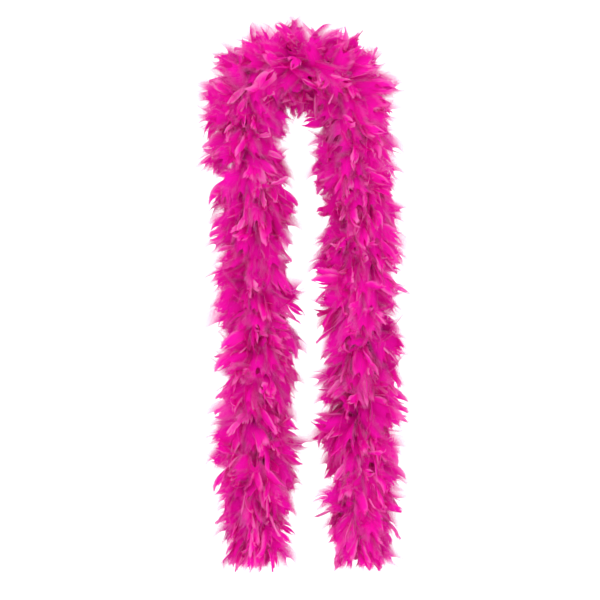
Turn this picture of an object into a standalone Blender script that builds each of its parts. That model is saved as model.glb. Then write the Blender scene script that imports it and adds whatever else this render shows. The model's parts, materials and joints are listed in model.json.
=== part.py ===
"""A feather boa hung by its middle, with both tails hanging straight down.

A twisted core cord carries whorls of dyed feathers all along its length. A binding thread winds round the
cord and holds the quills, and each end is whipped with thread and knotted. The cord is limp: here it is one
stiff stretch over the neck and four stretches down each tail, hinged to each other end to end.

The boa hangs in the XZ plane. The origin is the point under the loop where a neck or a hook holds it up.
"""
import math

import bmesh
import bpy
from mathutils import Matrix, Vector

# The route of the cord, in metres. Each tail runs from its shoulder down to its end, and every second
# point is a hinge. The loop runs from the left shoulder to the right one.
LEFT_TAIL = [
    (-0.095, 0.000, -0.020), (-0.088, -0.002, -0.110), (-0.079, 0.000, -0.200),
    (-0.080, 0.003, -0.290), (-0.074, 0.000, -0.382), (-0.077, -0.003, -0.473),
    (-0.079, 0.000, -0.564), (-0.074, 0.003, -0.655), (-0.077, 0.000, -0.740),
]
NECK_LOOP = [
    (-0.086, 0.000, 0.034), (-0.052, 0.000, 0.070), (-0.005, 0.000, 0.080),
    (0.042, 0.000, 0.070), (0.076, 0.000, 0.034),
]
RIGHT_TAIL = [
    (0.086, 0.000, -0.020), (0.091, 0.002, -0.110), (0.097, 0.000, -0.200),
    (0.097, -0.003, -0.290), (0.102, 0.000, -0.382), (0.099, 0.003, -0.473),
    (0.097, 0.000, -0.564), (0.101, -0.003, -0.655), (0.097, 0.000, -0.740),
]
LINKS_PER_TAIL = 4
STEPS_PER_SPAN = 12  # points of the smooth curve from one route point to the next

CORD_RADIUS = 0.003
CORD_END_GAP = 0.00025  # each rounded cord end stops this far short of its hinge
CORD_POINT_SPACING = 0.010

THREAD_RADIUS = 0.0004
THREAD_WINDING_RADIUS = 0.0041
THREAD_PITCH = 0.060
THREAD_POINTS_PER_TURN = 8
THREAD_END_MARGIN = 0.011

BLADES = 7
BLADE_THICKNESS = 0.0014
BLADE_ROWS = (0.42, 0.76, 1.0)  # how far along the blade each cross row of points lies
COLLAR_RADIUS = 0.0056
COLLAR_HEIGHT = 0.007
STAGGER = math.radians(137.5)  # each whorl is turned this far from the one before, as leaves are on a stem

TAIL_REACH = 0.064  # from the cord to a blade's tip
TAIL_DROP = 0.040  # how far a blade hangs below its collar
TAIL_WHORLS_AT = (0.012, 0.068, 0.124)  # collars, measured from the hinge above
END_WHORLS_AT = (0.012, 0.060, 0.108)
END_REACHES = (0.062, 0.057, 0.051)  # the last link thins out towards the end
END_TUFT_AT = 0.150
END_TUFT_REACH = 0.040
END_TUFT_DROP = 0.054

LOOP_REACH = 0.072
LOOP_SHOULDER_REACH = 0.069
LOOP_WHORLS = 5
LOOP_MARGIN = 0.031  # from a shoulder hinge to the first collar
LOOP_DROP = 0.010

WHIPPING_HEIGHT = 0.007
WHIPPING_OUTER_RADIUS = 0.0048
WHIPPING_GAP = 0.0003
WHIPPING_AT = 0.006  # its middle, measured up from the cord's end
KNOT_RADIUS = 0.0065

PINK_FEATHER = (0.68, 0.012, 0.28)
PINK_COTTON = (0.50, 0.008, 0.17)
PINK_THREAD = (0.60, 0.010, 0.22)


def clear_scene():
    for old in list(bpy.data.objects):
        bpy.data.objects.remove(old, do_unlink=True)


def dyed(name, colour, roughness):
    """A plain dyed material: colour in linear RGB, no metal."""
    material = bpy.data.materials.new(name)
    material.use_nodes = True
    shader = material.node_tree.nodes["Principled BSDF"]
    shader.inputs["Base Color"].default_value = (*colour, 1.0)
    shader.inputs["Roughness"].default_value = roughness
    shader.inputs["Metallic"].default_value = 0.0
    material.diffuse_color = (*colour, 1.0)
    return material


def smooth_route(points):
    """A Catmull-Rom curve through the points, with the place of each of them in the curve."""
    points = [Vector(point) for point in points]
    padded = [points[0] * 2 - points[1], *points, points[-1] * 2 - points[-2]]
    curve, places = [], []
    for i in range(len(points) - 1):
        before, start, end, after = padded[i:i + 4]
        places.append(len(curve))
        for step in range(STEPS_PER_SPAN):
            t = step / STEPS_PER_SPAN
            curve.append(0.5 * (2 * start + (end - before) * t
                                + (2 * before - 5 * start + 4 * end - after) * t ** 2
                                + (3 * start - before - 3 * end + after) * t ** 3))
    places.append(len(curve))
    curve.append(points[-1])
    return curve, places


class Stretch:
    """A length of the cord between two hinges, measured from its first point."""

    def __init__(self, points):
        self.points = points
        self.distances = [0.0]
        for a, b in zip(points, points[1:]):
            self.distances.append(self.distances[-1] + (b - a).length)
        self.length = self.distances[-1]

    def at(self, distance):
        """The point this far along, and the cord's direction there."""
        for i in range(len(self.points) - 1):
            if distance <= self.distances[i + 1] or i == len(self.points) - 2:
                break
        a, b = self.points[i], self.points[i + 1]
        share = (distance - self.distances[i]) / (self.distances[i + 1] - self.distances[i])
        return a.lerp(b, share), (b - a).normalized()

    def frame(self, distance, turn=0.0, backwards=False):
        """A frame on the cord whose -Z runs along it, turned about it by the angle given."""
        point, direction = self.at(distance)
        up = direction if backwards else -direction
        side = up.cross(Vector((0.0, 1.0, 0.0))).normalized()
        front = up.cross(side)
        axes = Matrix((side, front, up)).transposed().to_4x4()
        return Matrix.Translation(point) @ axes @ Matrix.Rotation(turn, 4, "Z")


def add_object(name, data, collection, material):
    data.materials.append(material)
    obj = bpy.data.objects.new(name, data)
    collection.objects.link(obj)
    return obj


def tube(name, points, radii, bevel, resolution, collection, material):
    """A tube of the given bevel radius along the points, each with its own share of that radius."""
    curve = bpy.data.curves.new(name, "CURVE")
    curve.dimensions = "3D"
    curve.bevel_depth = bevel
    curve.bevel_resolution = resolution
    curve.use_fill_caps = True
    spline = curve.splines.new("POLY")
    spline.points.add(len(points) - 1)
    for spot, point, radius in zip(spline.points, points, radii):
        spot.co = (*point, 1.0)
        spot.radius = radius
    return add_object(name, curve, collection, material)


def core_cord(name, stretch, collection, material):
    """A stretch of the core cord with rounded ends, so that it can turn against its neighbour."""
    first, last = CORD_END_GAP, stretch.length - CORD_END_GAP
    inner = [(CORD_RADIUS * share, math.sqrt(1 - (1 - share) ** 2)) for share in (0.03, 0.35, 1.0)]
    spans = max(2, round((last - first) / CORD_POINT_SPACING))
    middle = [first + CORD_RADIUS + (last - first - 2 * CORD_RADIUS) * i / spans for i in range(1, spans)]
    distances = [first + inset for inset, _ in inner] + middle + [last - inset for inset, _ in reversed(inner)]
    radii = [radius for _, radius in inner] + [1.0] * len(middle) + [radius for _, radius in reversed(inner)]
    points = [stretch.at(distance)[0] for distance in distances]
    tube(name, points, radii, CORD_RADIUS, 2, collection, material)


def binding_thread(name, stretch, collection, material):
    """The thread that winds round the cord and ties the quills down."""
    wound = stretch.length - 2 * THREAD_END_MARGIN
    count = round(wound / THREAD_PITCH * THREAD_POINTS_PER_TURN)
    points = []
    for i in range(count + 1):
        turn = 2 * math.pi * i / THREAD_POINTS_PER_TURN
        frame = stretch.frame(THREAD_END_MARGIN + wound * i / count, turn)
        points.append(frame @ Vector((THREAD_WINDING_RADIUS, 0.0, 0.0)))
    tube(name, points, [1.0] * len(points), THREAD_RADIUS, 0, collection, material)


def blade_point(along, side, reach, drop):
    """A point of a blade that leaves the collar at +X, flares out and droops. side is -1 or +1."""
    out = COLLAR_RADIUS + (reach - COLLAR_RADIUS) * (1 - (1 - along) ** 1.25)
    down = drop * along ** 1.35
    half_width = reach * 0.21 * math.sin(math.pi * (0.18 + 0.66 * along)) ** 0.7
    tilt = math.radians(18)
    return Vector((out, side * half_width * math.cos(tilt), -down + side * half_width * math.sin(tilt)))


def feather_whorl(name, frame, reach, drop, collection, material):
    """A ring of feathers bound round the cord: a collar with thin drooping blades, as one shell."""
    mesh = bpy.data.meshes.new(name)
    shape = bmesh.new()
    step = 2 * math.pi / BLADES
    rings = []
    for height in (COLLAR_HEIGHT, 0.0):
        ring = []
        for i in range(BLADES):
            for turn in (-0.3, 0.3):
                angle = (i + turn) * step
                corner = (COLLAR_RADIUS * math.cos(angle), COLLAR_RADIUS * math.sin(angle), height)
                ring.append(shape.verts.new(corner))
        rings.append(ring)
    top, bottom = rings
    around = len(top)
    for i in range(around):
        j = (i + 1) % around
        shape.faces.new((top[i], bottom[i], bottom[j], top[j]))
    for i in range(BLADES):
        turn = Matrix.Rotation(i * step, 4, "Z")
        left, right = bottom[2 * i], bottom[2 * i + 1]
        for along in BLADE_ROWS:
            new_left = shape.verts.new(turn @ blade_point(along, -1, reach, drop))
            new_right = shape.verts.new(turn @ blade_point(along, 1, reach, drop))
            shape.faces.new((left, new_left, new_right, right))
            left, right = new_left, new_right
    shape.to_mesh(mesh)
    shape.free()
    whorl = add_object(name, mesh, collection, material)
    whorl.matrix_world = frame
    shell = whorl.modifiers.new("Thickness", "SOLIDIFY")
    shell.thickness = BLADE_THICKNESS
    shell.offset = 1.0
    return whorl


def whipping(name, frame, collection, material):
    """A short band of thread wound round the cord, turned from its section."""
    mesh = bpy.data.meshes.new(name)
    half = WHIPPING_HEIGHT / 2
    inner = CORD_RADIUS + WHIPPING_GAP
    chamfer = 0.0006
    section = [
        (inner, half), (WHIPPING_OUTER_RADIUS - chamfer, half), (WHIPPING_OUTER_RADIUS, half - chamfer),
        (WHIPPING_OUTER_RADIUS, chamfer - half), (WHIPPING_OUTER_RADIUS - chamfer, -half), (inner, -half),
    ]
    sides = len(section)
    mesh.from_pydata([(x, 0.0, z) for x, z in section], [(i, (i + 1) % sides) for i in range(sides)], [])
    band = add_object(name, mesh, collection, material)
    band.matrix_world = frame
    turned = band.modifiers.new("Turned", "SCREW")
    turned.steps = 16
    turned.render_steps = 16
    turned.use_merge_vertices = True
    turned.merge_threshold = 0.0001
    return band


def end_knot(name, frame, collection, material):
    """The knot at the end of the cord, a flattened ball."""
    mesh = bpy.data.meshes.new(name)
    shape = bmesh.new()
    bmesh.ops.create_uvsphere(shape, u_segments=12, v_segments=8, radius=KNOT_RADIUS)
    shape.to_mesh(mesh)
    shape.free()
    mesh.shade_smooth()
    knot = add_object(name, mesh, collection, material)
    knot.matrix_world = frame @ Matrix.Diagonal((1.0, 0.85, 0.75, 1.0))
    return knot


def tail(side, curve, places, shoulder, outward, collection, materials):
    """One hanging tail. shoulder is its first route point, and outward is +1 or -1 along the route."""
    cotton, thread, feather = materials
    for link in range(1, LINKS_PER_TAIL + 1):
        first = places[shoulder + outward * 2 * (link - 1)]
        last = places[shoulder + outward * 2 * link]
        points = curve[first:last + 1] if outward > 0 else curve[last:first + 1][::-1]
        stretch = Stretch(points)
        is_end = link == LINKS_PER_TAIL
        core_cord(f"core_cord_{side}_{link}", stretch, collection, cotton)
        binding_thread(f"binding_thread_{side}_{link}", stretch, collection, thread)
        for i, distance in enumerate(END_WHORLS_AT if is_end else TAIL_WHORLS_AT):
            frame = stretch.frame(distance, STAGGER * (len(TAIL_WHORLS_AT) * link + i))
            reach = END_REACHES[i] if is_end else TAIL_REACH
            name = f"feather_whorl_{side}_{link}_{i + 1}"
            feather_whorl(name, frame, reach, TAIL_DROP, collection, feather)
        if is_end:
            finish_end(side, stretch, collection, materials)


def finish_end(side, stretch, collection, materials):
    """The tuft, whipping and knot that close a tail."""
    cotton, thread, feather = materials
    tuft = stretch.frame(END_TUFT_AT)
    feather_whorl(f"end_tuft_{side}", tuft, END_TUFT_REACH, END_TUFT_DROP, collection, feather)
    band = stretch.frame(stretch.length - WHIPPING_AT)
    whipping(f"end_whipping_{side}", band, collection, thread)
    point, direction = stretch.at(stretch.length)
    below = Matrix.Translation(direction * (KNOT_RADIUS * 0.75 + WHIPPING_GAP))
    end_knot(f"end_knot_{side}", below @ stretch.frame(stretch.length), collection, cotton)


def neck_loop(curve, places, collection, materials):
    """The stretch over the neck, from the left shoulder to the right one."""
    cotton, thread, feather = materials
    first = places[len(LEFT_TAIL) - 1]
    last = places[len(LEFT_TAIL) + len(NECK_LOOP)]
    stretch = Stretch(curve[first:last + 1])
    core_cord("core_cord_neck", stretch, collection, cotton)
    binding_thread("binding_thread_neck", stretch, collection, thread)
    spacing = (stretch.length - 2 * LOOP_MARGIN) / (LOOP_WHORLS - 1)
    for i in range(LOOP_WHORLS):
        left_half = i < LOOP_WHORLS / 2
        at_shoulder = i in (0, LOOP_WHORLS - 1)
        reach = LOOP_SHOULDER_REACH if at_shoulder else LOOP_REACH
        frame = stretch.frame(LOOP_MARGIN + i * spacing, STAGGER * i, backwards=left_half)
        feather_whorl(f"feather_whorl_neck_{i + 1}", frame, reach, LOOP_DROP, collection, feather)


def main():
    clear_scene()
    collection = bpy.data.collections.new("feather_boa")
    bpy.context.scene.collection.children.link(collection)
    materials = (
        dyed("dyed_cotton_cord", PINK_COTTON, 0.85),
        dyed("dyed_binding_thread", PINK_THREAD, 0.55),
        dyed("dyed_turkey_feather", PINK_FEATHER, 0.60),
    )
    curve, places = smooth_route(LEFT_TAIL[::-1] + NECK_LOOP + RIGHT_TAIL)
    neck_loop(curve, places, collection, materials)
    tail("left", curve, places, len(LEFT_TAIL) - 1, -1, collection, materials)
    tail("right", curve, places, len(LEFT_TAIL) + len(NECK_LOOP), 1, collection, materials)


main()
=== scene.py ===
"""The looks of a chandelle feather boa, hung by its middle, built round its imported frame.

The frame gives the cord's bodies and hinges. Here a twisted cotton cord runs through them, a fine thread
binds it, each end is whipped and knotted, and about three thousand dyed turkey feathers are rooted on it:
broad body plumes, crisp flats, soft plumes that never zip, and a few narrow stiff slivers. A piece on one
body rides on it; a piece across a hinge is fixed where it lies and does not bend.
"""

import json
import math

import bpy
import numpy as np
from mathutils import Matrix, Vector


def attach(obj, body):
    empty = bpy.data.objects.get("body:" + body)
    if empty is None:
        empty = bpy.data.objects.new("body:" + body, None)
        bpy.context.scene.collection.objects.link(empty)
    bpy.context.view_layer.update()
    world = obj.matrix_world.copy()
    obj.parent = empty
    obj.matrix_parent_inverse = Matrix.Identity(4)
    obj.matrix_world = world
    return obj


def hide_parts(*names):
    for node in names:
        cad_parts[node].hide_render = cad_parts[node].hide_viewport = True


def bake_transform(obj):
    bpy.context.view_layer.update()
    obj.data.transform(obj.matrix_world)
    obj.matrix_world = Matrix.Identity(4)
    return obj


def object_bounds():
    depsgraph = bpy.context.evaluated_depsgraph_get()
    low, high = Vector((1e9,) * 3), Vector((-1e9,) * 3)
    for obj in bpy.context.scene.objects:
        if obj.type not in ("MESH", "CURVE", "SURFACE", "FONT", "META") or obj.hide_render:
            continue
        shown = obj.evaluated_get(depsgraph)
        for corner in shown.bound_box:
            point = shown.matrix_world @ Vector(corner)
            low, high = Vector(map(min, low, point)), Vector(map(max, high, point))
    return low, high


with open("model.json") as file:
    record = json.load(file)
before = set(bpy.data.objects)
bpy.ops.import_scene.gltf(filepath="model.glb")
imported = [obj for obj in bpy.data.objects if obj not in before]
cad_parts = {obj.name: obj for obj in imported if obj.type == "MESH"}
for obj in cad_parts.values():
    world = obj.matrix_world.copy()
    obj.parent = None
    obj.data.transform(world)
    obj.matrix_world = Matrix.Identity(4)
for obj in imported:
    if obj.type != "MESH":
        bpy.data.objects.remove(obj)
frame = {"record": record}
CAD_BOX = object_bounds()

MM = 0.001

# The cord's route, in metres: each tail from its shoulder to its end, every second point a hinge.
LEFT_TAIL = [
    (-0.095, 0.000, -0.020), (-0.088, -0.002, -0.110), (-0.079, 0.000, -0.200),
    (-0.080, 0.003, -0.290), (-0.074, 0.000, -0.382), (-0.077, -0.003, -0.473),
    (-0.079, 0.000, -0.564), (-0.074, 0.003, -0.655), (-0.077, 0.000, -0.740),
]
NECK_LOOP = [
    (-0.086, 0.000, 0.034), (-0.052, 0.000, 0.070), (-0.005, 0.000, 0.080),
    (0.042, 0.000, 0.070), (0.076, 0.000, 0.034),
]
RIGHT_TAIL = [
    (0.086, 0.000, -0.020), (0.091, 0.002, -0.110), (0.097, 0.000, -0.200),
    (0.097, -0.003, -0.290), (0.102, 0.000, -0.382), (0.099, 0.003, -0.473),
    (0.097, 0.000, -0.564), (0.101, -0.003, -0.655), (0.097, 0.000, -0.740),
]
ROUTE = LEFT_TAIL[::-1] + NECK_LOOP + RIGHT_TAIL
TAIL_POINTS = len(LEFT_TAIL)
LOOP_POINTS = len(NECK_LOOP)
LINKS = 4  # hinges in each tail

CORD_DIAMETER = 6.0 * MM
CORD_LAY = 22.0 * MM  # one full twist of the three plies
CORD_SIDES = 24
THREAD_DIAMETER = 0.45 * MM
THREAD_PITCH = 7.0 * MM
KNOT_CORD_RADIUS = 2.5 * MM  # the cord is squeezed where the knot is pulled tight
KNOT_SIZE = 2.0 * MM  # a third of the radius of the knot's three bights
KNOT_THICKNESS = 2.4 * MM
KNOT_DROP = 8.0 * MM  # from the whipped cord's end to the middle of the knot
WHIPPING_THREAD = 0.84 * MM
WHIPPING_LENGTH = 7.0 * MM
WHIPPING_AT = 6.0 * MM  # its middle, measured up from the cord's end

PLUME_RADIUS = 55 * MM
END_TAPER = 0.13  # the stretch at each end over which the plume thins out, in metres
LUMPS = 0.20  # how much the plume's radius varies at random
BUNCH_SPREAD = 0.035  # how far a bunch reaches along the cord each way, in metres
# Where the plume is bunched up: distance from the cord's middle, the way the bunch stands out, and how far.
FULLER = [
    (-0.075, (-0.5, 0.0, 1.0), 30 * MM),
    (0.090, (0.9, 0.0, 0.6), 24 * MM),
    (0.015, (0.2, 0.0, 1.0), 8 * MM),
]
ROOM_SHARE = 0.03  # how far feathers may stand past the frame's box: this share of its sides
ROOM = 8 * MM  # and this much more

GOLDEN_ANGLE = 137.5  # in degrees, from each root on the cord to the next one round it
PLUME_SEED, LUMP_SEED, END_SEED = 27, 5, 8
STATIONS = 12  # points along a feather's quill where its bend is worked out
DOWN = np.array((0.0, 0.0, -1.0))

PINK_DARK = "#D00484"
PINK_DEEP = "#FB00B8"
PINK_MAIN = "#FC04B8"
# PINK_PALE is both the palest dye and the painted light at the thin loose tips.
PINK_PALE = "#FC86CE"
PINK_SHEEN = "#FFA0D8"
QUILL_DARK = "#A01064"
QUILL_PINK = "#CC1880"
QUILL_PALE = "#E048A4"
CORD_DARK = "#B00A6C"
CORD_PINK = "#D8148C"
THREAD_DARK = "#B01874"
THREAD_PINK = "#D0208A"
PAPER_GREY = "#EFEDEE"
PAPER_WHITE = "#F4F2F3"

KERATIN_IOR = 1.54
FIBRE_IOR = 1.53
BLOTCHES_PER_METRE = 45.0  # dye takes unevenly over about two centimetres
QUILL_MOTTLE = 6.25 * MM
PAPER_TOOTH = 2.5 * MM  # the real tooth, about 0.1 mm, is too fine to show, so it is drawn this coarse


# -------- the cord's route

def smooth_route(points, steps=16):
    """A Catmull-Rom curve through the points, and the place of each of them in the curve."""
    points = [np.array(point) for point in points]
    padded = [2 * points[0] - points[1], *points, 2 * points[-1] - points[-2]]
    curve = []
    for before, start, end, after in zip(padded, padded[1:], padded[2:], padded[3:]):
        for step in range(steps):
            t = step / steps
            curve.append(0.5 * (2 * start + (end - before) * t
                                + (2 * before - 5 * start + 4 * end - after) * t ** 2
                                + (3 * start - before - 3 * end + after) * t ** 3))
    curve.append(points[-1])
    return np.array(curve), [i * steps for i in range(len(points))]


CURVE, PLACES = smooth_route(ROUTE)
DISTANCES = np.concatenate([[0.0], np.cumsum(np.linalg.norm(np.diff(CURVE, axis=0), axis=1))])
LENGTH = DISTANCES[-1]
AT_POINT = [DISTANCES[place] for place in PLACES]  # how far along the cord each route point lies
LEFT_SHOULDER = AT_POINT[TAIL_POINTS - 1]
RIGHT_SHOULDER = AT_POINT[TAIL_POINTS + LOOP_POINTS]


def unit(vectors):
    return vectors / np.maximum(np.linalg.norm(vectors, axis=-1, keepdims=True), 1e-12)


def on_cord(distances):
    """Points on the cord at these distances from its left end, and its direction at each."""
    distances = np.clip(np.atleast_1d(distances), 0.0, LENGTH)
    points = np.stack([np.interp(distances, DISTANCES, CURVE[:, i]) for i in range(3)], axis=1)
    slopes = np.gradient(CURVE, DISTANCES, axis=0)
    along = np.stack([np.interp(distances, DISTANCES, slopes[:, i]) for i in range(3)], axis=1)
    return points, along / np.linalg.norm(along, axis=1, keepdims=True)


def across_cord(along):
    """Two unit vectors square to the cord: one in the plane it hangs in, one to the front."""
    front = np.array((0.0, -1.0, 0.0))
    side = np.cross(front, along)
    side /= np.linalg.norm(side, axis=1, keepdims=True)
    return side, np.cross(along, side)


def regions():
    """The stretches that pieces are cut into: name, first and last distance, and the bodies they follow."""
    last = len(ROUTE) - 1
    found = [("neck", AT_POINT[TAIL_POINTS], AT_POINT[TAIL_POINTS + LOOP_POINTS - 1], "neck_loop", None)]
    for side, end, step in (("left", 0, 1), ("right", last, -1)):
        span = sorted((AT_POINT[end], AT_POINT[end + step]))
        found.append((f"{side}_end", *span, f"{side}_tail_{LINKS}", None))
        for link in range(LINKS, 0, -1):
            hinge = end + step * 2 * (LINKS + 1 - link)
            parent = "neck_loop" if link == 1 else f"{side}_tail_{link - 1}"
            span = sorted((AT_POINT[hinge - step], AT_POINT[hinge + step]))
            bend = (f"{side}_tail_{link}", ROUTE[hinge + step], ROUTE[hinge - step])
            found.append((f"{side}_{link}", *span, parent, bend))
    return found


def follow(piece, body, bend):
    """Makes a piece ride on its body; a piece across a hinge is only fixed in place, and does not bend."""
    if bend is None:
        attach(piece, body)
        return
    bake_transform(piece)


# -------- materials

def linear(colour):
    """The linear RGBA of an sRGB hex colour."""
    parts = [int(colour[i:i + 2], 16) / 255 for i in (1, 3, 5)]
    return (*[c / 12.92 if c <= 0.04045 else ((c + 0.055) / 1.055) ** 2.4 for c in parts], 1.0)


def set_stops(ramp, stops):
    """Gives a colour ramp its stops: a place and an sRGB hex colour for each."""
    while len(ramp.elements) < len(stops):
        ramp.elements.new(0.5)
    for element, (place, colour) in zip(ramp.elements, stops):
        element.position = place
        element.color = linear(colour)


def add_node(tree, kind, settings=None, links=None):
    """Adds a node, sets its properties and inputs by name, and links inputs to the sockets given."""
    node = tree.nodes.new(kind)
    for name, value in (settings or {}).items():
        if name == "stops":
            set_stops(node.color_ramp, value)
        elif isinstance(name, str) and hasattr(node, name):
            setattr(node, name, value)
        else:
            node.inputs[name].default_value = value
    for name, socket in (links or {}).items():
        tree.links.new(socket, node.inputs[name])
    return node


def new_material(name):
    material = bpy.data.materials.new(name)
    material.use_nodes = True
    material.node_tree.nodes.clear()
    return material, material.node_tree


def thin_surface(tree, colour, roughness, bump, through):
    """A thin sheet that is lit from both sides: a soft satin front, and a share of light through it."""
    front = add_node(tree, "ShaderNodeBsdfPrincipled", {
        "Metallic": 0.0, "IOR": KERATIN_IOR, "Sheen Weight": 0.05, "Sheen Roughness": 0.45,
        "Sheen Tint": linear(PINK_SHEEN), "Specular IOR Level": 0.12,
    }, {"Base Color": colour, "Roughness": roughness, "Normal": bump})
    back = add_node(tree, "ShaderNodeBsdfTranslucent", links={"Color": colour, "Normal": bump})
    mixed = add_node(tree, "ShaderNodeMixShader", {"Fac": through},
                     {1: front.outputs[0], 2: back.outputs[0]})
    add_node(tree, "ShaderNodeOutputMaterial", links={"Surface": mixed.outputs[0]})


def soft_normal(tree, share):
    """A normal turned part way to straight out of the plume: light scatters from barb to barb, which rounds
    off the shading of each feather."""
    outward = add_node(tree, "ShaderNodeAttribute", {"attribute_name": "outward"})
    flat = add_node(tree, "ShaderNodeNewGeometry")
    turned = add_node(tree, "ShaderNodeVectorMath", {"operation": "MULTIPLY_ADD", 1: (share, share, share)},
                      {0: outward.outputs["Vector"], 2: flat.outputs["Normal"]})
    evened = add_node(tree, "ShaderNodeVectorMath", {"operation": "NORMALIZE"}, {0: turned.outputs[0]})
    return evened.outputs[0]


def feather_tone(tree, streak_mm, painted_tip_light):
    """How pale the colour is at a point: by the dye of each feather, in soft blotches, in streaks that follow
    the barbs, and paler towards the loose ends, which is painted light for light showing through thin barbs.
    The attribute feather holds each feather's shade and the place across its web."""
    marks = add_node(tree, "ShaderNodeAttribute", {"attribute_name": "feather"})
    parts = add_node(tree, "ShaderNodeSeparateColor", links={"Color": marks.outputs["Color"]})
    barb = add_node(tree, "ShaderNodeAttribute", {"attribute_name": "barb"})
    streaks = add_node(tree, "ShaderNodeTexNoise", {
        "Scale": 1.0 / streak_mm, "Detail": 3.0, "Roughness": 0.6,
    }, {"Vector": barb.outputs["Vector"]})
    place = add_node(tree, "ShaderNodeTexCoord")
    blotch = add_node(tree, "ShaderNodeTexNoise", {
        "Scale": BLOTCHES_PER_METRE, "Detail": 2.0, "Roughness": 0.5,
    }, {"Vector": place.outputs["Object"]})
    # Painted light: paler from partway across the web out to the free tips, for light showing through thin
    # barbs.
    ends = add_node(tree, "ShaderNodeMapRange", {
        "interpolation_type": "SMOOTHSTEP", "From Min": 0.3, "From Max": 1.2,
        "To Min": 0.0, "To Max": painted_tip_light,
    }, {"Value": parts.outputs["Green"]})
    tone = ends.outputs[0]
    sources = ((parts.outputs["Red"], 0.35), (blotch.outputs["Fac"], 0.35), (streaks.outputs["Fac"], 0.30))
    for source, weight in sources:
        added = add_node(tree, "ShaderNodeMath", {"operation": "MULTIPLY_ADD", 1: weight},
                         {0: source, 2: tone})
        tone = added.outputs[0]
    return tone, streaks.outputs["Fac"]


def dyed_web():
    """Turkey web, acid dyed: barbs zipped into a smooth satin sheet, streaked along the barbs, with loose tips
    painted paler for the light that shows through them."""
    material, tree = new_material("acid_dyed_turkey_web")
    # Real barbs are 0.4 mm apart, too fine to show, so the streaks are drawn as bundles of them.
    # The last value is painted light: how much paler the free tips are made, for light showing through them.
    tone, streaks = feather_tone(tree, streak_mm=2.4, painted_tip_light=0.30)
    stops = [(0.26, PINK_DARK), (0.40, PINK_DEEP), (0.56, PINK_MAIN), (0.90, PINK_PALE)]
    colour = add_node(tree, "ShaderNodeValToRGB", {"stops": stops}, {"Fac": tone})
    rough = add_node(tree, "ShaderNodeMapRange", {"To Min": 0.40, "To Max": 0.65}, {"Value": streaks})
    bump = add_node(tree, "ShaderNodeBump", {"Strength": 0.35, "Distance": 0.4 * MM},
                    {"Height": streaks, "Normal": soft_normal(tree, 0.6)})
    thin_surface(tree, colour.outputs["Color"], rough.outputs[0], bump.outputs[0], through=0.35)
    return material


def dyed_down():
    """Downy barbs, acid dyed: loose soft filaments, matt, painted paler out to the tips for light shining
    through.
    """
    material, tree = new_material("acid_dyed_turkey_down")
    # Down is finer still, and its streaks are drawn as bundles too.
    # The last value is painted light: how much paler the free tips are made, for light showing through them.
    tone, streaks = feather_tone(tree, streak_mm=1.6, painted_tip_light=0.36)
    stops = [(0.42, PINK_DEEP), (0.60, PINK_MAIN), (0.96, PINK_PALE)]
    colour = add_node(tree, "ShaderNodeValToRGB", {"stops": stops}, {"Fac": tone})
    rough = add_node(tree, "ShaderNodeMapRange", {"To Min": 0.65, "To Max": 0.90}, {"Value": streaks})
    bump = add_node(tree, "ShaderNodeBump", {"Strength": 0.3, "Distance": 0.3 * MM},
                    {"Height": streaks, "Normal": soft_normal(tree, 0.9)})
    thin_surface(tree, colour.outputs["Color"], rough.outputs[0], bump.outputs[0], through=0.38)
    return material


def dyed_quill():
    """Keratin quill that took the dye darkly: smooth, hard and faintly glossy, mottled along its length."""
    material, tree = new_material("acid_dyed_keratin_quill")
    place = add_node(tree, "ShaderNodeTexCoord")
    mottle = add_node(tree, "ShaderNodeTexNoise", {"Scale": 1.0 / QUILL_MOTTLE, "Detail": 2.0},
                      {"Vector": place.outputs["Object"]}).outputs["Fac"]
    stops = [(0.3, QUILL_DARK), (0.55, QUILL_PINK), (0.8, QUILL_PALE)]
    colour = add_node(tree, "ShaderNodeValToRGB", {"stops": stops}, {"Fac": mottle})
    rough = add_node(tree, "ShaderNodeMapRange", {"To Min": 0.25, "To Max": 0.45}, {"Value": mottle})
    shader = add_node(tree, "ShaderNodeBsdfPrincipled", {"IOR": KERATIN_IOR, "Metallic": 0.0},
                      {"Base Color": colour.outputs["Color"], "Roughness": rough.outputs[0]})
    add_node(tree, "ShaderNodeOutputMaterial", links={"Surface": shader.outputs[0]})
    return material


def spun_fibre(name, dark, light, roughness, fibre_mm):
    """Dyed yarn: matt, with a soft sheen and a fine uneven grain where fibres stray from it."""
    material, tree = new_material(name)
    place = add_node(tree, "ShaderNodeTexCoord")
    # Real fibres are about 0.02 mm thick, too fine to show, so their grain is drawn coarser.
    fibres = add_node(tree, "ShaderNodeTexNoise", {
        "Scale": 1.0 / (fibre_mm * MM), "Detail": 4.0, "Roughness": 0.7,
    }, {"Vector": place.outputs["Object"]}).outputs["Fac"]
    colour = add_node(tree, "ShaderNodeValToRGB", {"stops": [(0.3, dark), (0.7, light)]}, {"Fac": fibres})
    rough = add_node(tree, "ShaderNodeMapRange", {"To Min": roughness - 0.1, "To Max": roughness + 0.1},
                     {"Value": fibres})
    bump = add_node(tree, "ShaderNodeBump", {"Strength": 0.5, "Distance": 0.2 * MM}, {"Height": fibres})
    shader = add_node(tree, "ShaderNodeBsdfPrincipled", {
        "Metallic": 0.0, "IOR": FIBRE_IOR, "Sheen Weight": 0.2, "Sheen Tint": linear(PINK_SHEEN),
    }, {"Base Color": colour.outputs["Color"], "Roughness": rough.outputs[0], "Normal": bump.outputs[0]})
    add_node(tree, "ShaderNodeOutputMaterial", links={"Surface": shader.outputs[0]})
    return material


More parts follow.
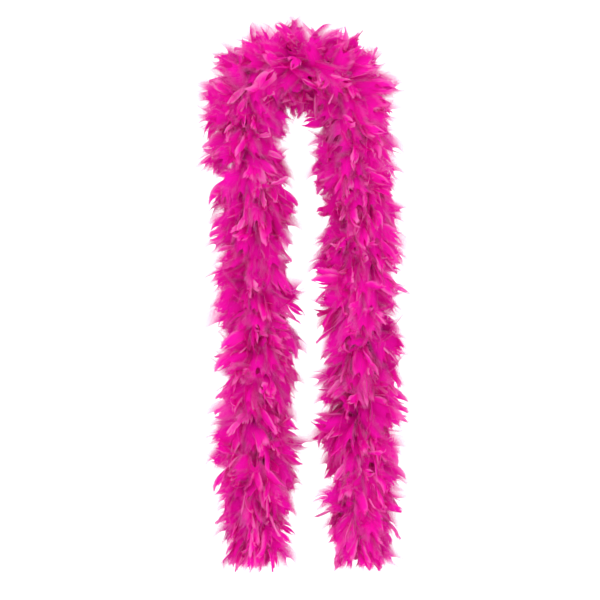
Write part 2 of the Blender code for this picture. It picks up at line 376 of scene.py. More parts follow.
def studio_paper():
    """Matt seamless studio paper: almost white, with the faint tooth of uncoated stock."""
    material, tree = new_material("uncoated_studio_paper")
    place = add_node(tree, "ShaderNodeTexCoord")
    tooth = add_node(tree, "ShaderNodeTexNoise", {"Scale": 1.0 / PAPER_TOOTH, "Detail": 2.0},
                     {"Vector": place.outputs["Object"]})
    colour = add_node(tree, "ShaderNodeValToRGB", {"stops": [(0.2, PAPER_GREY), (0.8, PAPER_WHITE)]},
                      {"Fac": tooth.outputs["Fac"]})
    shader = add_node(tree, "ShaderNodeBsdfPrincipled", {"Roughness": 0.9},
                      {"Base Color": colour.outputs["Color"]})
    add_node(tree, "ShaderNodeOutputMaterial", links={"Surface": shader.outputs[0]})
    return material


# -------- meshes from arrays

def make_piece(name, points, quads, finishes=None, materials=(), marks=None, vectors=None):
    """A mesh object from arrays: its points, its quads and each quad's material. marks is what its points
    hold in the attribute feather, and vectors is what they hold in others, by name."""
    mesh = bpy.data.meshes.new(name)
    mesh.vertices.add(len(points))
    mesh.vertices.foreach_set("co", np.asarray(points, np.float32).ravel())
    mesh.loops.add(4 * len(quads))
    mesh.loops.foreach_set("vertex_index", np.asarray(quads, np.int32).ravel())
    mesh.polygons.add(len(quads))
    mesh.polygons.foreach_set("loop_start", np.arange(0, 4 * len(quads), 4, dtype=np.int32))
    mesh.polygons.foreach_set("loop_total", np.full(len(quads), 4, np.int32))
    mesh.polygons.foreach_set("use_smooth", np.ones(len(quads), bool))
    for material in materials:
        mesh.materials.append(material)
    if finishes is not None:
        mesh.polygons.foreach_set("material_index", np.asarray(finishes, np.int32))
    if marks is not None:
        layer = mesh.attributes.new("feather", "FLOAT_COLOR", "POINT")
        layer.data.foreach_set("color", np.asarray(marks, np.float32).ravel())
    for layer_name, values in (vectors or {}).items():
        layer = mesh.attributes.new(layer_name, "FLOAT_VECTOR", "POINT")
        layer.data.foreach_set("vector", np.asarray(values, np.float32).ravel())
    mesh.update(calc_edges=True)
    piece = bpy.data.objects.new(name, mesh)
    bpy.context.scene.collection.objects.link(piece)
    return piece


def grid_quads(rows, columns, closed=False):
    """The quads of a grid of points, row by row. closed joins the last column to the first."""
    across = columns if closed else columns - 1
    i, j = np.meshgrid(np.arange(rows - 1), np.arange(across), indexing="ij")
    i, j = i.ravel(), j.ravel()
    k = (j + 1) % columns
    return np.stack([i * columns + j, i * columns + k, (i + 1) * columns + k, (i + 1) * columns + j], axis=1)


# -------- cord and thread

def tube(centres, side, front, radii):
    """The points and quads of a tube round a line. radii has a row for each ring, with a radius for each of
    its points."""
    rings, sides = radii.shape
    angles = np.arange(sides) * 2 * math.pi / sides
    ring = (side[:, None, :] * np.cos(angles)[None, :, None]
            + front[:, None, :] * np.sin(angles)[None, :, None])
    points = centres[:, None, :] + ring * radii[:, :, None]
    return points.reshape(-1, 3), grid_quads(rings, sides, closed=True)


def plied(distances, radius):
    """The radii of a three-ply cord, whose section has three lobes that turn as it runs."""
    angles = np.arange(CORD_SIDES) * 2 * math.pi / CORD_SIDES
    twist = distances[:, None] * 2 * math.pi / CORD_LAY
    return radius * (0.74 + 0.26 * np.abs(np.cos(1.5 * (angles[None, :] - twist))))


def untwisted(path):
    """Two unit vectors square to a path at each of its points, carried along it without a twist."""
    along = unit(np.gradient(path, axis=0))
    side = [unit(np.cross(along[0], (0.2, 1.0, 0.3)))]
    for direction in along[1:]:
        side.append(unit(side[-1] - direction * (side[-1] @ direction)))
    return np.array(side), np.cross(along, side)


def twisted_cord(name, first, last, material):
    """A stretch of the three-ply cord, and the points of its middle line."""
    count = max(8, round((last - first) / (CORD_LAY / 14)))
    places = np.linspace(first, last, count)
    centres, along = on_cord(places)
    points, quads = tube(centres, *across_cord(along), plied(places, CORD_DIAMETER / 2))
    return make_piece(name, points, quads, materials=[material]), [tuple(point) for point in centres]


def wound(places, angles, off_cord):
    """A thread's line round the cord, through these places at these angles, and two directions about square
    to it."""
    centres, along = on_cord(places)
    side, front = across_cord(along)
    out = side * np.cos(angles)[:, None] + front * np.sin(angles)[:, None]
    return centres + out * off_cord[:, None], out, along


def bound_thread(name, first, last, material):
    """The binding thread, wound in an open spiral on the cord."""
    sides, per_turn = 6, 12
    count = max(8, round((last - first) / THREAD_PITCH * per_turn))
    places = np.linspace(first, last, count)
    off_cord = np.full(count, CORD_DIAMETER / 2 + THREAD_DIAMETER * 0.3)
    line = wound(places, places * 2 * math.pi / THREAD_PITCH, off_cord)
    points, quads = tube(*line, np.full((count, sides), THREAD_DIAMETER / 2))
    return make_piece(name, points, quads, materials=[material])


def whipping(name, end, inward, material):
    """Thread wound tightly round the cord's end: one layer up from the end and a second one back over it."""
    sides, per_turn = 6, 16
    turns = round(WHIPPING_LENGTH / WHIPPING_THREAD)
    count = 2 * turns * per_turn + 1
    t = np.linspace(0.0, 1.0, count)
    middle = end + inward * WHIPPING_AT
    half = (WHIPPING_LENGTH - WHIPPING_THREAD) / 2
    places = middle + inward * half * (1 - np.abs(4 * t - 2))
    layer = np.interp(t, (0.48, 0.52), (0.0, 0.85 * WHIPPING_THREAD))
    line = wound(places, t * 2 * turns * 2 * math.pi, CORD_DIAMETER / 2 + WHIPPING_THREAD * 0.4 + layer)
    points, quads = tube(*line, np.full((count, sides), WHIPPING_THREAD / 2))
    return make_piece(name, points, quads, materials=[material])


def end_knot(name, end, material, rng):
    """An overhand knot pulled up under the whipping, and a short stub of cord below it, frayed to yarns."""
    top, _ = on_cord(end)
    t = np.linspace(1.1 * math.pi, 2.9 * math.pi, 90)
    # A trefoil cut open at one side: the cord comes in above the gap and leaves below it.
    bights = np.stack([-(np.cos(t) - 2 * np.cos(2 * t)) * KNOT_SIZE, -np.sin(3 * t) * KNOT_THICKNESS,
                       (np.sin(t) + 2 * np.sin(2 * t)) * KNOT_SIZE], axis=1)
    bights[:, 0] -= 1.6 * KNOT_SIZE
    lead = np.array([(0.0, 0.0, KNOT_DROP + 1.0 * MM), (0.2 * MM, 0.0, KNOT_DROP - 1.0 * MM)])
    stub = np.array([(0.5 * MM, 0.0, -7.5 * MM), (0.0, 0.0, -11.0 * MM)])
    path, _ = smooth_route([*lead, *bights[::6], *stub], 8)
    path = path + top - (0.0, 0.0, KNOT_DROP)
    distances = np.concatenate([[0.0], np.cumsum(np.linalg.norm(np.diff(path, axis=0), axis=1))])
    parts = [tube(path, *untwisted(path), plied(distances, KNOT_CORD_RADIUS))]
    yarns, rings, sides = 18, 8, 6
    s = np.linspace(0.0, 1.0, rings)[:, None]
    for _ in range(yarns):
        start = path[-1] + rng.uniform(-1, 1, 3) * (1.3 * MM, 1.3 * MM, 0.5 * MM) + (0.0, 0.0, 2.0 * MM)
        splay = rng.normal(0, 0.35, 3) * (1.0, 1.0, 0.0)
        line = start + (s * DOWN + s ** 2 * splay) * rng.uniform(7, 12) * MM
        radii = np.repeat(0.45 * MM * (1.0 - 0.85 * s ** 2), sides, axis=1)
        parts.append(tube(line, *untwisted(line), radii))
    offsets = np.cumsum([0] + [len(points) for points, _ in parts[:-1]])
    points = np.concatenate([points for points, _ in parts])
    quads = np.concatenate([quads + offset for (_, quads), offset in zip(parts, offsets)])
    return make_piece(name, points, quads, materials=[material])


# -------- feather shapes

VANE, FLUFF, SHAFT = 0, 1, 2  # the three finishes of a feather, in the order of its material slots


class Feather:
    """One feather laid flat: X along the quill, Y across, Z off its face, in metres."""

    def __init__(self, length):
        self.length = length
        self.points, self.quads, self.finishes, self.marks = [], [], [], []
        self.count = 0

    def add(self, points, quads, finish, across, barb):
        """Adds a patch. across runs from 0 at the quill to 1 at the web's edge and a little more in the free
        tips, and barb is how far along the quill each point's barb is rooted, in mm."""
        points = np.asarray(points, float).reshape(-1, 3)
        self.points.append(points)
        self.quads.append(np.asarray(quads, int) + self.count)
        self.finishes.append(np.full(len(quads), finish))
        marks = [np.broadcast_to(values, len(points)) for values in (across, barb)]
        self.marks.append(np.stack(marks, axis=1))
        self.count += len(points)

    def close(self):
        """Joins the patches."""
        self.points, self.quads = np.concatenate(self.points), np.concatenate(self.quads)
        self.finishes, self.marks = np.concatenate(self.finishes), np.concatenate(self.marks)
        return self


def add_quill(feather, reach, thick, thin):
    """A tapering three-sided quill up to a share of the feather's length."""
    rows = 7
    x = np.linspace(0.0, feather.length * reach, rows)
    radius = np.interp(x, (0.0, x[-1]), (thick, thin))
    angles = np.arange(3) * 2 * math.pi / 3
    points = np.stack([np.repeat(x[:, None], 3, axis=1), radius[:, None] * np.cos(angles),
                       radius[:, None] * np.sin(angles)], axis=2)
    feather.add(points, grid_quads(rows, 3, closed=True), SHAFT, 0.0, 0.0)


def lock_offsets(count, longest, spread, rng):
    """One random value for each barb, shared by the neighbours that cling together in a lock."""
    values = np.empty(count)
    start = 0
    while start < count:
        size = int(rng.integers(1, longest + 1))
        values[start:start + size] = rng.normal(0.0, spread)
        start += size
    return values


def add_barbs(feather, start, end, barbs, longest, cup, rng):
    """Loose barbs on both sides of the quill: strips that overlap at the quill and taper to fine tips.

    Neighbours cling together in locks, and cup is how far the tips curve off the feather's flat, as a share
    of the barbs' length.
    """
    spans = 4
    out = np.linspace(0.0, 1.0, spans + 1)
    spacing = feather.length * (end - start) / barbs
    for side in (-1, 1):
        share = (np.arange(barbs) + rng.uniform(0.2, 0.8, barbs)) / barbs
        root = feather.length * (start + (end - start) * share)
        reach = longest * np.sin(math.pi * (0.22 + 0.66 * share)) ** 0.8 * rng.uniform(0.85, 1.05, barbs)
        lean = np.radians(72 - 46 * share ** 1.5) + lock_offsets(barbs, 6, 0.12, rng)
        bend = rng.uniform(-0.8, -0.3) + lock_offsets(barbs, 7, 0.16, rng)
        lift = lock_offsets(barbs, 6, 0.12, rng)
        angle = lean[:, None] + bend[:, None] * out
        x = root[:, None] + reach[:, None] * out * np.cos(angle)
        y = side * reach[:, None] * out * np.sin(angle)
        z = reach[:, None] * (cup * out ** 2 + lift[:, None] * out)
        centre = np.stack([x, y, z], axis=2)
        half = spacing * 0.5 * (1.45 - 1.25 * out ** 1.3)
        flat = np.stack([-np.sin(angle), side * np.cos(angle), np.zeros_like(angle)], axis=2)
        flat = flat * half[None, :, None]
        strips = np.stack([centre - flat, centre + flat], axis=2)
        one = grid_quads(spans + 1, 2)
        quads = (one[None, :, :] + (np.arange(barbs) * 2 * (spans + 1))[:, None, None]).reshape(-1, 4)
        across = np.tile(np.repeat(out, 2), barbs)
        barb = np.repeat(root / MM, 2 * (spans + 1))
        feather.add(strips, quads, FLUFF, across, barb)


def add_fringe(feather, edge, heading, lengths, barb):
    """Loose barb tips along the edge of a web: a fine tooth on each stretch between two edge points."""
    middle = (edge[1:] + edge[:-1]) / 2
    half = (edge[1:] - edge[:-1]) * 0.5
    lean = (heading[1:] + heading[:-1]) / 2 * lengths[:, None]
    forward = np.array((0.30, 0.0, 0.0)) * lengths[:, None]
    knee = middle + lean * 0.5 + forward * 0.25
    tip = middle + lean + forward
    rows = [edge[:-1], edge[1:],
            knee - half * 0.62, knee + half * 0.62,
            tip - half * 0.16, tip + half * 0.16]
    teeth, each = len(middle), len(rows)
    one = np.array([(0, 1, 3, 2), (2, 3, 5, 4)])
    quads = (one[None] + (np.arange(teeth) * each)[:, None, None]).reshape(-1, 4)
    across = np.tile((1.0, 1.0, 1.1, 1.1, 1.25, 1.25), teeth)
    feather.add(np.stack(rows, axis=1), quads, VANE, across, np.repeat(barb[:-1], each))


# A web's outline: the start and the extent of the stretch of a sine that its barbs' lengths follow, and its
# power, then the angle in degrees between barb and quill at the root, and how much it narrows to the tip.
OUTLINES = {
    "round": (0.16, 0.70, 0.55, 60, 32),
    "cut": (0.16, 0.60, 0.45, 60, 32),
    "point": (0.14, 0.80, 0.90, 60, 32),
    "soft": (0.22, 0.64, 0.60, 76, 24),
}


def add_combed(feather, web, lengths, barb):
    """Barbs that lie side by side but don't zip: strips that thin out along their length, so light shows
    between them, and end in long free tips."""
    heading = unit(web[:, -1] - web[:, -2])
    reach = lengths[:, None] * (heading[1:] + heading[:-1]) / 2
    forward = np.array((0.35, 0.0, -0.15)) * lengths[:, None]
    left, right = web[:-1], web[1:]
    centre = (left + right) / 2
    half = (right - left) / 2
    knee = centre[:, -1] + reach * 0.5 + forward * 0.2
    tip = centre[:, -1] + reach + forward
    centre = np.concatenate([centre, knee[:, None], tip[:, None]], axis=1)
    half = np.concatenate([half, half[:, -1:], half[:, -1:]], axis=1)
    rows = centre.shape[1]
    fill = np.interp(np.arange(rows) / (rows - 1), (0.0, 0.3, 0.6, 1.0), (1.05, 0.80, 0.38, 0.12))
    half = half * fill[None, :, None]
    strips = np.stack([centre - half, centre + half], axis=2)
    one = grid_quads(rows, 2)
    quads = (one[None, :, :] + (np.arange(len(centre)) * 2 * rows)[:, None, None]).reshape(-1, 4)
    across = np.tile(np.repeat(np.linspace(0.0, 1.25, rows), 2), len(centre))
    feather.add(strips, quads, FLUFF, across, np.repeat(barb[:-1], 2 * rows))


def add_web(feather, half_width, start, tip, cup, barbs, loose, finish, rng):
    """Both halves of a web, each in a few locks of barbs that have come slightly apart.

    start is where the web begins, as a share of the feather's length, barbs is how many edge points a half
    has, cup is how far the edges curve off the feather's flat, as a share of the width, and loose is about
    how long the free barb tips are near the root.
    """
    spans = 3
    out = np.linspace(0.0, 1.0, spans + 1)
    low, rise, power, steep, narrow = OUTLINES[tip]
    for side in (-1, 1):
        width = half_width * rng.uniform(0.75, 1.1)
        cuts = np.sort(rng.choice(np.arange(3, barbs - 2), rng.integers(0, 3), replace=False))
        edges = [0, *cuts, barbs]
        cut_at = feather.length * rng.uniform(0.84, 0.95)
        cut_slope = rng.uniform(-0.5, 0.5)
        phase, wave = rng.uniform(0, 6), rng.uniform(0.02, 0.08) * width
        for first, last in zip(edges, edges[1:]):
            number = np.arange(first, last + 1)
            u = number / barbs
            root = feather.length * (start + (0.97 - start) * u)
            angle = np.radians(steep - narrow * u ** 1.4) + rng.uniform(-0.09, 0.09)
            reach = 1.30 * width * np.sin(math.pi * (low + rise * u)) ** power
            reach += rng.uniform(-0.5, 0.5, len(u)) * MM
            if tip == "cut":
                room = (cut_at - root) / (np.cos(angle) + cut_slope * np.sin(angle) * side)
                reach = np.minimum(reach, np.maximum(room, 1.5 * MM))
            bent = angle[:, None] - rng.uniform(0.35, 0.65) * out[None, :]
            x = root[:, None] + reach[:, None] * out * np.cos(bent)
            y = side * reach[:, None] * out * np.sin(bent) + side * 0.15 * MM
            z = cup * width * out ** 2 + rng.uniform(-0.12, 0.12) * width * out
            z = z + wave * np.sin(u[:, None] * 9 + phase + 2 * out) * out
            web = np.stack([x, y, z], axis=2)
            barb = root / MM
            teeth = loose * (1 - 0.40 * u[:-1]) * rng.uniform(0.5, 1.3, len(u) - 1)
            if finish == FLUFF:
                add_combed(feather, web, teeth, barb)
                continue
            across = np.repeat(out[None, :], len(u), axis=0).ravel()
            feather.add(web, grid_quads(len(u), spans + 1), VANE, across, np.repeat(barb, spans + 1))
            add_fringe(feather, web[:, -1], unit(web[:, -1] - web[:, -2]), teeth, barb)


def body_plume(length, half_width, tip, rng):
    """A turkey body feather: a broad soft web that curls over, above a fluffy base."""
    feather = Feather(length)
    add_quill(feather, reach=0.93, thick=0.4 * MM, thin=0.10 * MM)
    add_web(feather, half_width, start=0.34, tip=tip, cup=rng.uniform(-0.4, -0.05), barbs=22,
            loose=4.5 * MM, finish=VANE, rng=rng)
    add_barbs(feather, start=0.06, end=0.44, barbs=10, longest=half_width * 1.35,
              cup=rng.uniform(-0.3, 0.0), rng=rng)
    return feather.close()


def turkey_flat(length, half_width, start, tip, rng):
    """A flat: quill, downy base and a narrow, crisp web."""
    feather = Feather(length)
    add_quill(feather, reach=0.95, thick=0.5 * MM, thin=0.12 * MM)
    add_web(feather, half_width, start=start, tip=tip, cup=rng.uniform(-0.5, -0.15), barbs=14,
            loose=2 * MM, finish=VANE, rng=rng)
    add_barbs(feather, start=0.06, end=start + 0.06, barbs=9, longest=half_width * 2.0,
              cup=rng.uniform(-0.3, 0.1), rng=rng)
    return feather.close()


def soft_plume(length, half_width, rng):
    """A plume whose barbs never zip: they lie side by side in soft locks, with long free tips."""
    feather = Feather(length)
    add_quill(feather, reach=0.92, thick=0.35 * MM, thin=0.10 * MM)
    add_web(feather, half_width, start=0.08, tip="soft", cup=rng.uniform(-0.5, 0.1), barbs=30,
            loose=11 * MM, finish=FLUFF, rng=rng)
    return feather.close()


def sliver(length, half_width, rng):
    """A narrow stiff side feather that ends in a point."""
    feather = Feather(length)
    add_quill(feather, reach=1.0, thick=0.5 * MM, thin=0.15 * MM)
    add_web(feather, half_width, start=0.45, tip="point", cup=rng.uniform(-0.6, 0.0), barbs=10,
            loose=1 * MM, finish=VANE, rng=rng)
    return feather.close()


# -------- laying the feathers on the cord

def bent_headings(directions, faces, droops, curls):
    """The way each quill points at its stations. droops turn it towards the ground by its tip, and curls
    turn it towards or away from its face."""
    t = np.linspace(0.0, 1.0, STATIONS)
    heading = directions[:, None, :] + droops[:, None, None] * t[None, :, None] ** 1.3 * DOWN
    return unit(heading + curls[:, None, None] * t[None, :, None] ** 1.5 * faces[:, None, :])


def lay(feather, roots, directions, faces, scales, droops, curls):
    """Bends copies of a feather along their own quill lines and returns their points, copy by copy."""
    heading = bent_headings(directions, faces, droops, curls)
    step = feather.length / (STATIONS - 1)
    steps = unit(heading[:, 1:] + heading[:, :-1]) * step * scales[:, None, None]
    line = np.concatenate([np.zeros_like(roots)[:, None, :], np.cumsum(steps, axis=1)], axis=1)
    line = line + roots[:, None, :]
    across = unit(np.cross(heading, faces[:, None, :]))
    face = np.cross(across, heading)
    place = np.clip(feather.points[:, 0] / feather.length, 0.0, 1.4) * (STATIONS - 1)
    low = np.minimum(place.astype(int), STATIONS - 2)
    share = (place - low)[None, :, None]

    def between(values):
        return values[:, low] * (1 - share) + values[:, low + 1] * share

    size = scales[:, None, None]
    return (between(line) + between(across) * feather.points[None, :, 1:2] * size
            + between(face) * feather.points[None, :, 2:3] * size)


def smooth_noise(values, period, rng):
    """Soft random waves along the cord, from -1 to 1."""
    knots = rng.uniform(-1, 1, int(LENGTH / period) + 4)
    place = values / period + 1
    low = place.astype(int)
    share = place - low
    share = share * share * (3 - 2 * share)
    return knots[low] * (1 - share) + knots[low + 1] * share


def field(values, angles, rng):
    """Soft lumps over the plume's skin, about -1 to 1, by distance along the cord and angle round it."""
    return (0.6 * smooth_noise(values, 0.060, rng) * np.cos(angles)
            + 0.6 * smooth_noise(values, 0.045, rng) * np.sin(angles)
            + 0.4 * smooth_noise(values, 0.085, rng))


def share_in_loop(distances, before, over):
    """0 in the tails and 1 in the neck loop. It begins to rise this far before each shoulder, and is full
    after this stretch, both in metres."""
    inside = np.minimum(distances - LEFT_SHOULDER, RIGHT_SHOULDER - distances)
    return np.clip((inside + before) / over, 0, 1)


def plume_radius(distances, radial):
    """How far the plume stands off the cord: thinner at the two ends, and fuller in the neck loop, most of
    all on its underside and in its bunches."""
    from_end = np.minimum(distances, LENGTH - distances)
    ends = 0.56 + 0.44 * np.clip(from_end / END_TAPER, 0, 1) ** 0.8
    in_loop = share_in_loop(distances, 0.03, 0.07)
    under = np.clip(-radial[:, 2], 0, 1)
    flat_on = np.abs(radial[:, 1])
    radius = PLUME_RADIUS * ends + in_loop * (7 + 14 * under - 4 * flat_on) * MM
    for from_middle, way, extra in FULLER:
        near = np.exp(-((distances - LENGTH / 2 - from_middle) / BUNCH_SPREAD) ** 2)
        radius += extra * near * np.clip(radial @ unit(np.array(way)), 0, 1) ** 2
    return radius


def bent_reach(directions, faces, droops, curls, radial):
    """How far off the cord a feather of length 1 comes at its furthest, bent as lay() bends it."""
    heading = bent_headings(directions, faces, droops, curls)
    line = np.cumsum(unit(heading[:, 1:] + heading[:, :-1]) / (STATIONS - 1), axis=1)
    return (line * radial[:, None, :]).sum(axis=2).max(axis=1)


def scatter(feathers, count, lean, droop, curl, roll, reach, tucked, shade, rng):
    """Roots of one kind of feather, evenly along the cord and all round it, with each copy's way of lying.

    lean is the range of angles in degrees between a feather and the cord as it runs to its tail, droop is
    the range of its turn to the ground, curl is the middle and the spread of its turn to its face, and roll
    is the spread of its turn about its quill. reach is the share of the plume's radius that it comes to,
    tucked is how much of that is lost in the neck loop, and shade is how pale it is dyed.
    """
    places = (np.arange(count) + rng.uniform(0, 1, count)) / count * LENGTH
    centres, along = on_cord(places)
    to_tail = np.where(places < LENGTH / 2, -1.0, 1.0)[:, None] * along
    side, front = across_cord(along)
    azimuth = np.arange(count) * math.radians(GOLDEN_ANGLE) + rng.normal(0, 0.5, count)
    radial = side * np.cos(azimuth)[:, None] + front * np.sin(azimuth)[:, None]
    in_loop = share_in_loop(places, 0.02, 0.08)
    angle = np.radians(rng.uniform(*lean, count)) + in_loop * rng.normal(0.15, 0.50, count)
    sideways = unit(np.cross(to_tail, radial)) * (rng.normal(0, 0.42, count) * (1 + in_loop))[:, None]
    directions = unit(to_tail * np.cos(angle)[:, None] + radial * np.sin(angle)[:, None] + sideways)
    roots = centres + radial * CORD_DIAMETER / 2
    rolls = rng.normal(0, roll, count)
    around = unit(np.cross(directions, radial))
    faces = np.cross(around, directions) * np.cos(rolls)[:, None] + around * np.sin(rolls)[:, None]
    droops = rng.uniform(*droop, count) * (1 - 0.7 * in_loop * (1 - np.abs(radial[:, 1])))
    curls = rng.normal(*curl, count) - 0.25 * in_loop
    kinds = rng.integers(0, len(feathers), count)
    lengths = np.array([feather.length for feather in feathers])[kinds]
    lumps = field(places, azimuth, np.random.default_rng(LUMP_SEED))
    radius = plume_radius(places, radial) * (1 + LUMPS * lumps)
    radius *= 1 - tucked * in_loop
    tips = bent_reach(directions, faces, droops, curls, radial)
    sizes = radius * rng.uniform(*reach, count) / (lengths * np.maximum(tips, 0.45))
    sizes = np.clip(sizes, 0.55, 1.30)
    shades = np.clip(rng.normal(shade, 0.15, count), 0, 1.5)
    return {"kind": kinds, "place": places, "root": roots, "direction": directions, "face": faces,
            "size": sizes, "droop": droops, "curl": curls, "shade": shades}


def keep_in_room(laid, roots):
    """Shrinks about its root any feather that would stand further out than the plume may, or hang lower than
    the frame does."""
    low, high = (np.array(corner) for corner in CAD_BOX)
    spare = ROOM_SHARE * (high - low) + ROOM
    high, low = high + spare, low - spare * (1, 1, 0)
    offset = laid - roots[:, None, :]
    above = (high - roots) / np.maximum(offset.max(axis=1), 1e-6)
    below = (roots - low) / np.maximum(-offset.min(axis=1), 1e-6)
    fit = np.minimum(1.0, np.minimum(above, below).min(axis=1))
    return roots[:, None, :] + offset * fit[:, None, None]


def outward_of(laid, places):
    """The direction straight out of the plume at each point of the feathers."""
    centres, along = on_cord(places)
    offset = laid - centres[:, None, :]
    return unit(offset - (offset * along[:, None, :]).sum(axis=2, keepdims=True) * along[:, None, :])


def plume_piece(name, feathers, scattered, first, last, materials):
    """All feathers rooted on one stretch of the cord, as one mesh."""
    points, quads, finishes, marks, barbs, outward = [], [], [], [], [], []
    start = 0
    for number, feather in enumerate(feathers):
        chosen = (scattered["kind"] == number) & (scattered["place"] >= first) & (scattered["place"] < last)
        copies = int(chosen.sum())
        if not copies:
            continue
        ways = [scattered[key][chosen] for key in ("root", "direction", "face", "size", "droop", "curl")]
        laid = keep_in_room(lay(feather, *ways), scattered["root"][chosen])
        each = len(feather.points)
        offsets = start + np.arange(copies) * each
        quads.append((feather.quads[None, :, :] + offsets[:, None, None]).reshape(-1, 4))
        finishes.append(np.tile(feather.finishes, copies))
        points.append(laid.reshape(-1, 3))
        shade = np.repeat(scattered["shade"][chosen], each)
        across, barb = (np.tile(feather.marks[:, i], copies) for i in range(2))
        marks.append(np.stack([shade, across, np.zeros_like(shade), np.ones_like(shade)], axis=1))
        # Streaks follow the barbs closely, change slowly along each of them, and differ from shade to shade.
        barbs.append(np.stack([barb, across * 2, shade * 50], axis=1))
        outward.append(outward_of(laid, scattered["place"][chosen]).reshape(-1, 3))
        start += copies * each
    vectors = {"barb": np.concatenate(barbs), "outward": np.concatenate(outward)}
    return make_piece(name, np.concatenate(points), np.concatenate(quads), np.concatenate(finishes),
                      materials, np.concatenate(marks), vectors)


# -------- the studio

LENS, SENSOR_WIDTH = 85, 36  # in millimetres
VIEW_WIDTH = 1.014  # how much the camera sees across, at the boa, in metres
WORLD_STRENGTH = 1.21
LIT = (0, 0, -0.3)  # the point that both lights face
FLOOR_HEIGHT = -1.3
FLOOR_RADIUS = 2.0


def add_camera():
    """The camera square on to the boa, about level with its middle."""
    data = bpy.data.cameras.new("camera")
    data.lens = LENS
    data.sensor_width = SENSOR_WIDTH
    camera = bpy.data.objects.new("camera", data)
    low, high = CAD_BOX
    middle = (low[2] + high[2]) / 2
    camera.location = (-2 * MM, -VIEW_WIDTH * data.lens / data.sensor_width, middle - 6 * MM)
    camera.rotation_euler = (math.radians(90), 0, 0)
    bpy.context.scene.collection.objects.link(camera)
    bpy.context.scene.camera = camera


def add_light(name, place, size, power):
    """A round soft light that faces the boa. power is in watts."""
    data = bpy.data.lights.new(name, "AREA")
    data.shape = "DISK"
    data.size = size
    data.energy = power
    light = bpy.data.objects.new(name, data)
    light.location = place
    bpy.context.scene.collection.objects.link(light)
    aim = Vector(LIT) - light.location
    light.rotation_euler = aim.to_track_quat("-Z", "Y").to_euler()


def add_studio():
    """White surroundings, a big soft key from the front left, a weaker fill from the right, and a pale floor
    well below."""
    world = bpy.data.worlds.new("white_studio")
    world.use_nodes = True
    world.node_tree.nodes["Background"].inputs["Color"].default_value = (1, 1, 1, 1)
    world.node_tree.nodes["Background"].inputs["Strength"].default_value = WORLD_STRENGTH
    bpy.context.scene.world = world
    bpy.context.scene.view_settings.view_transform = "Standard"
    add_light("key", (-0.8, -2.6, 0.5), size=1.8, power=11)
    add_light("fill", (1.1, -2.4, -0.2), size=1.4, power=6)
    bpy.ops.mesh.primitive_circle_add(vertices=96, radius=FLOOR_RADIUS, fill_type="NGON",
                                      location=(0, 0, FLOOR_HEIGHT))
    floor = bpy.context.object
    floor.name = "studio_floor"
    floor.data.materials.append(studio_paper())


# -------- building

# Each kind's feathers: length and half width in millimetres, where a flat's web starts, and the tip.
BROAD_SIZES = (
    (58, 18, "round"), (62, 15, "cut"), (54, 19, "cut"), (60, 17, "round"), (64, 14, "round"),
    (56, 14, "point"), (60, 20, "round"), (52, 17, "cut"), (66, 16, "cut"), (58, 15, "round"),
)
FLAT_SIZES = (
    (68, 7.0, 0.46, "round"), (72, 6.0, 0.50, "cut"), (66, 8.0, 0.48, "cut"), (74, 5.5, 0.46, "point"),
    (64, 6.5, 0.52, "round"), (70, 5.0, 0.46, "point"), (60, 8.5, 0.52, "cut"), (70, 7.0, 0.54, "cut"),
)
SOFT_SIZES = (
    (58, 17), (62, 15), (54, 19), (66, 14), (57, 16), (60, 20), (64, 17), (52, 15), (67, 16), (60, 13),
)
SLIVER_SIZES = ((72, 3.0), (80, 2.2), (66, 3.8))

# How many there are of each kind and how they lie, in the words of scatter().
SCATTER = {
    "body_plumes": {
        "count": 760, "lean": (38, 105), "droop": (0.1, 1.0), "curl": (-0.75, 0.35), "roll": 0.7,
        "reach": (0.76, 1.00), "tucked": 0.15, "shade": 0.45,
    },
    "flats": {
        "count": 200, "lean": (30, 105), "droop": (0.0, 0.9), "curl": (-0.2, 0.5), "roll": 0.8,
        "reach": (0.98, 1.24), "tucked": 0.05, "shade": 0.95,
    },
    "soft_plumes": {
        "count": 2000, "lean": (40, 110), "droop": (0.1, 1.0), "curl": (-0.65, 0.45), "roll": 0.8,
        "reach": (0.50, 1.00), "tucked": 0.0, "shade": 0.5,
    },
    "slivers": {
        "count": 80, "lean": (35, 110), "droop": (-0.1, 0.8), "curl": (-0.2, 0.9), "roll": 1.2,
        "reach": (1.0, 1.22), "tucked": 0.0, "shade": 0.1,
    },
}


def stand_for_nodes(body, bend, starts, replaced):
    """Lets a piece replace those nodes of its body whose names start so and that no earlier piece replaces."""
    owner = bend[0] if bend else body
    nodes = frame["record"]["behaviour"]["bodies"][owner]
    new = [node for node in nodes if node.startswith(starts) and node not in replaced]
    if new:
        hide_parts(*new)
        replaced.update(new)


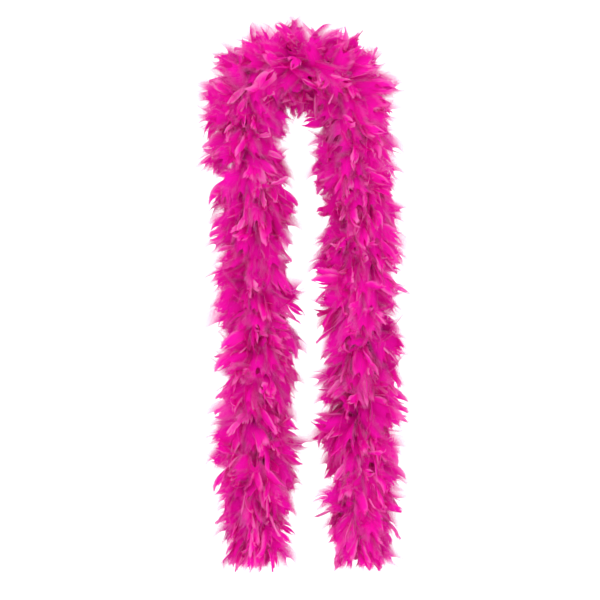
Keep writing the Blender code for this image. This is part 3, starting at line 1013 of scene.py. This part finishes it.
def build_ends(cotton, polyester):
    """The whipping and the knot at each end of the cord, by side."""
    rng = np.random.default_rng(END_SEED)
    ends = {}
    for side, end, inward in (("left", 0.0, 1), ("right", LENGTH, -1)):
        band = whipping(f"whipping_{side}", end, inward, polyester)
        knot = end_knot(f"overhand_knot_{side}", end, cotton, rng)
        for piece, slot, node in ((band, "thread", "end_whipping"), (knot, "cord", "end_knot")):
            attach(piece, f"{side}_tail_{LINKS}")
            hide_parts(f"{node}_{side}")
        ends[f"{side}_end"] = [band, knot]
    return ends


def build_cord():
    """The cord and its thread, stretch by stretch from the neck out, each a length of limp hanging cord."""
    cotton = spun_fibre("dyed_ring_spun_cotton_cord", CORD_DARK, CORD_PINK, roughness=0.85, fibre_mm=0.4)
    polyester = spun_fibre("dyed_polyester_binding_thread", THREAD_DARK, THREAD_PINK, roughness=0.5,
                           fibre_mm=0.2)
    ends = build_ends(cotton, polyester)
    replaced = set()
    for name, first, last, body, bend in regions():
        cord, path = twisted_cord(f"twisted_cord_{name}", first, last, cotton)
        thread = bound_thread(f"bound_thread_{name}", first, last, polyester)
        if name.startswith("left"):
            path = path[::-1]
        for piece, start, slot in ((cord, "core_cord", "cord"), (thread, "binding_thread", "thread")):
            follow(piece, body, bend)
            stand_for_nodes(body, bend, start, replaced)


def build_plume():
    """The feathers, in one piece for each stretch and kind."""
    rng = np.random.default_rng(PLUME_SEED)
    finishes = [dyed_web(), dyed_down(), dyed_quill()]
    broad = [body_plume(length * MM, width * MM, tip, rng) for length, width, tip in BROAD_SIZES]
    flats = [turkey_flat(length * MM, width * MM, start, tip, rng)
             for length, width, start, tip in FLAT_SIZES]
    plumes = [soft_plume(length * MM, width * MM, rng) for length, width in SOFT_SIZES]
    slivers = [sliver(length * MM, width * MM, rng) for length, width in SLIVER_SIZES]
    kinds = [(kind, feathers, scatter(feathers, rng=rng, **SCATTER[kind])) for kind, feathers in (
        ("body_plumes", broad), ("flats", flats), ("soft_plumes", plumes), ("slivers", slivers))]
    replaced = set()
    for name, first, last, body, bend in regions():
        for kind, feathers, scattered in kinds:
            piece = plume_piece(f"{kind}_{name}", feathers, scattered, first, last, finishes)
            follow(piece, body, bend)
            stand_for_nodes(body, bend, ("feather_whorl", "end_tuft"), replaced)


add_camera()
build_cord()
add_studio()
build_plume()
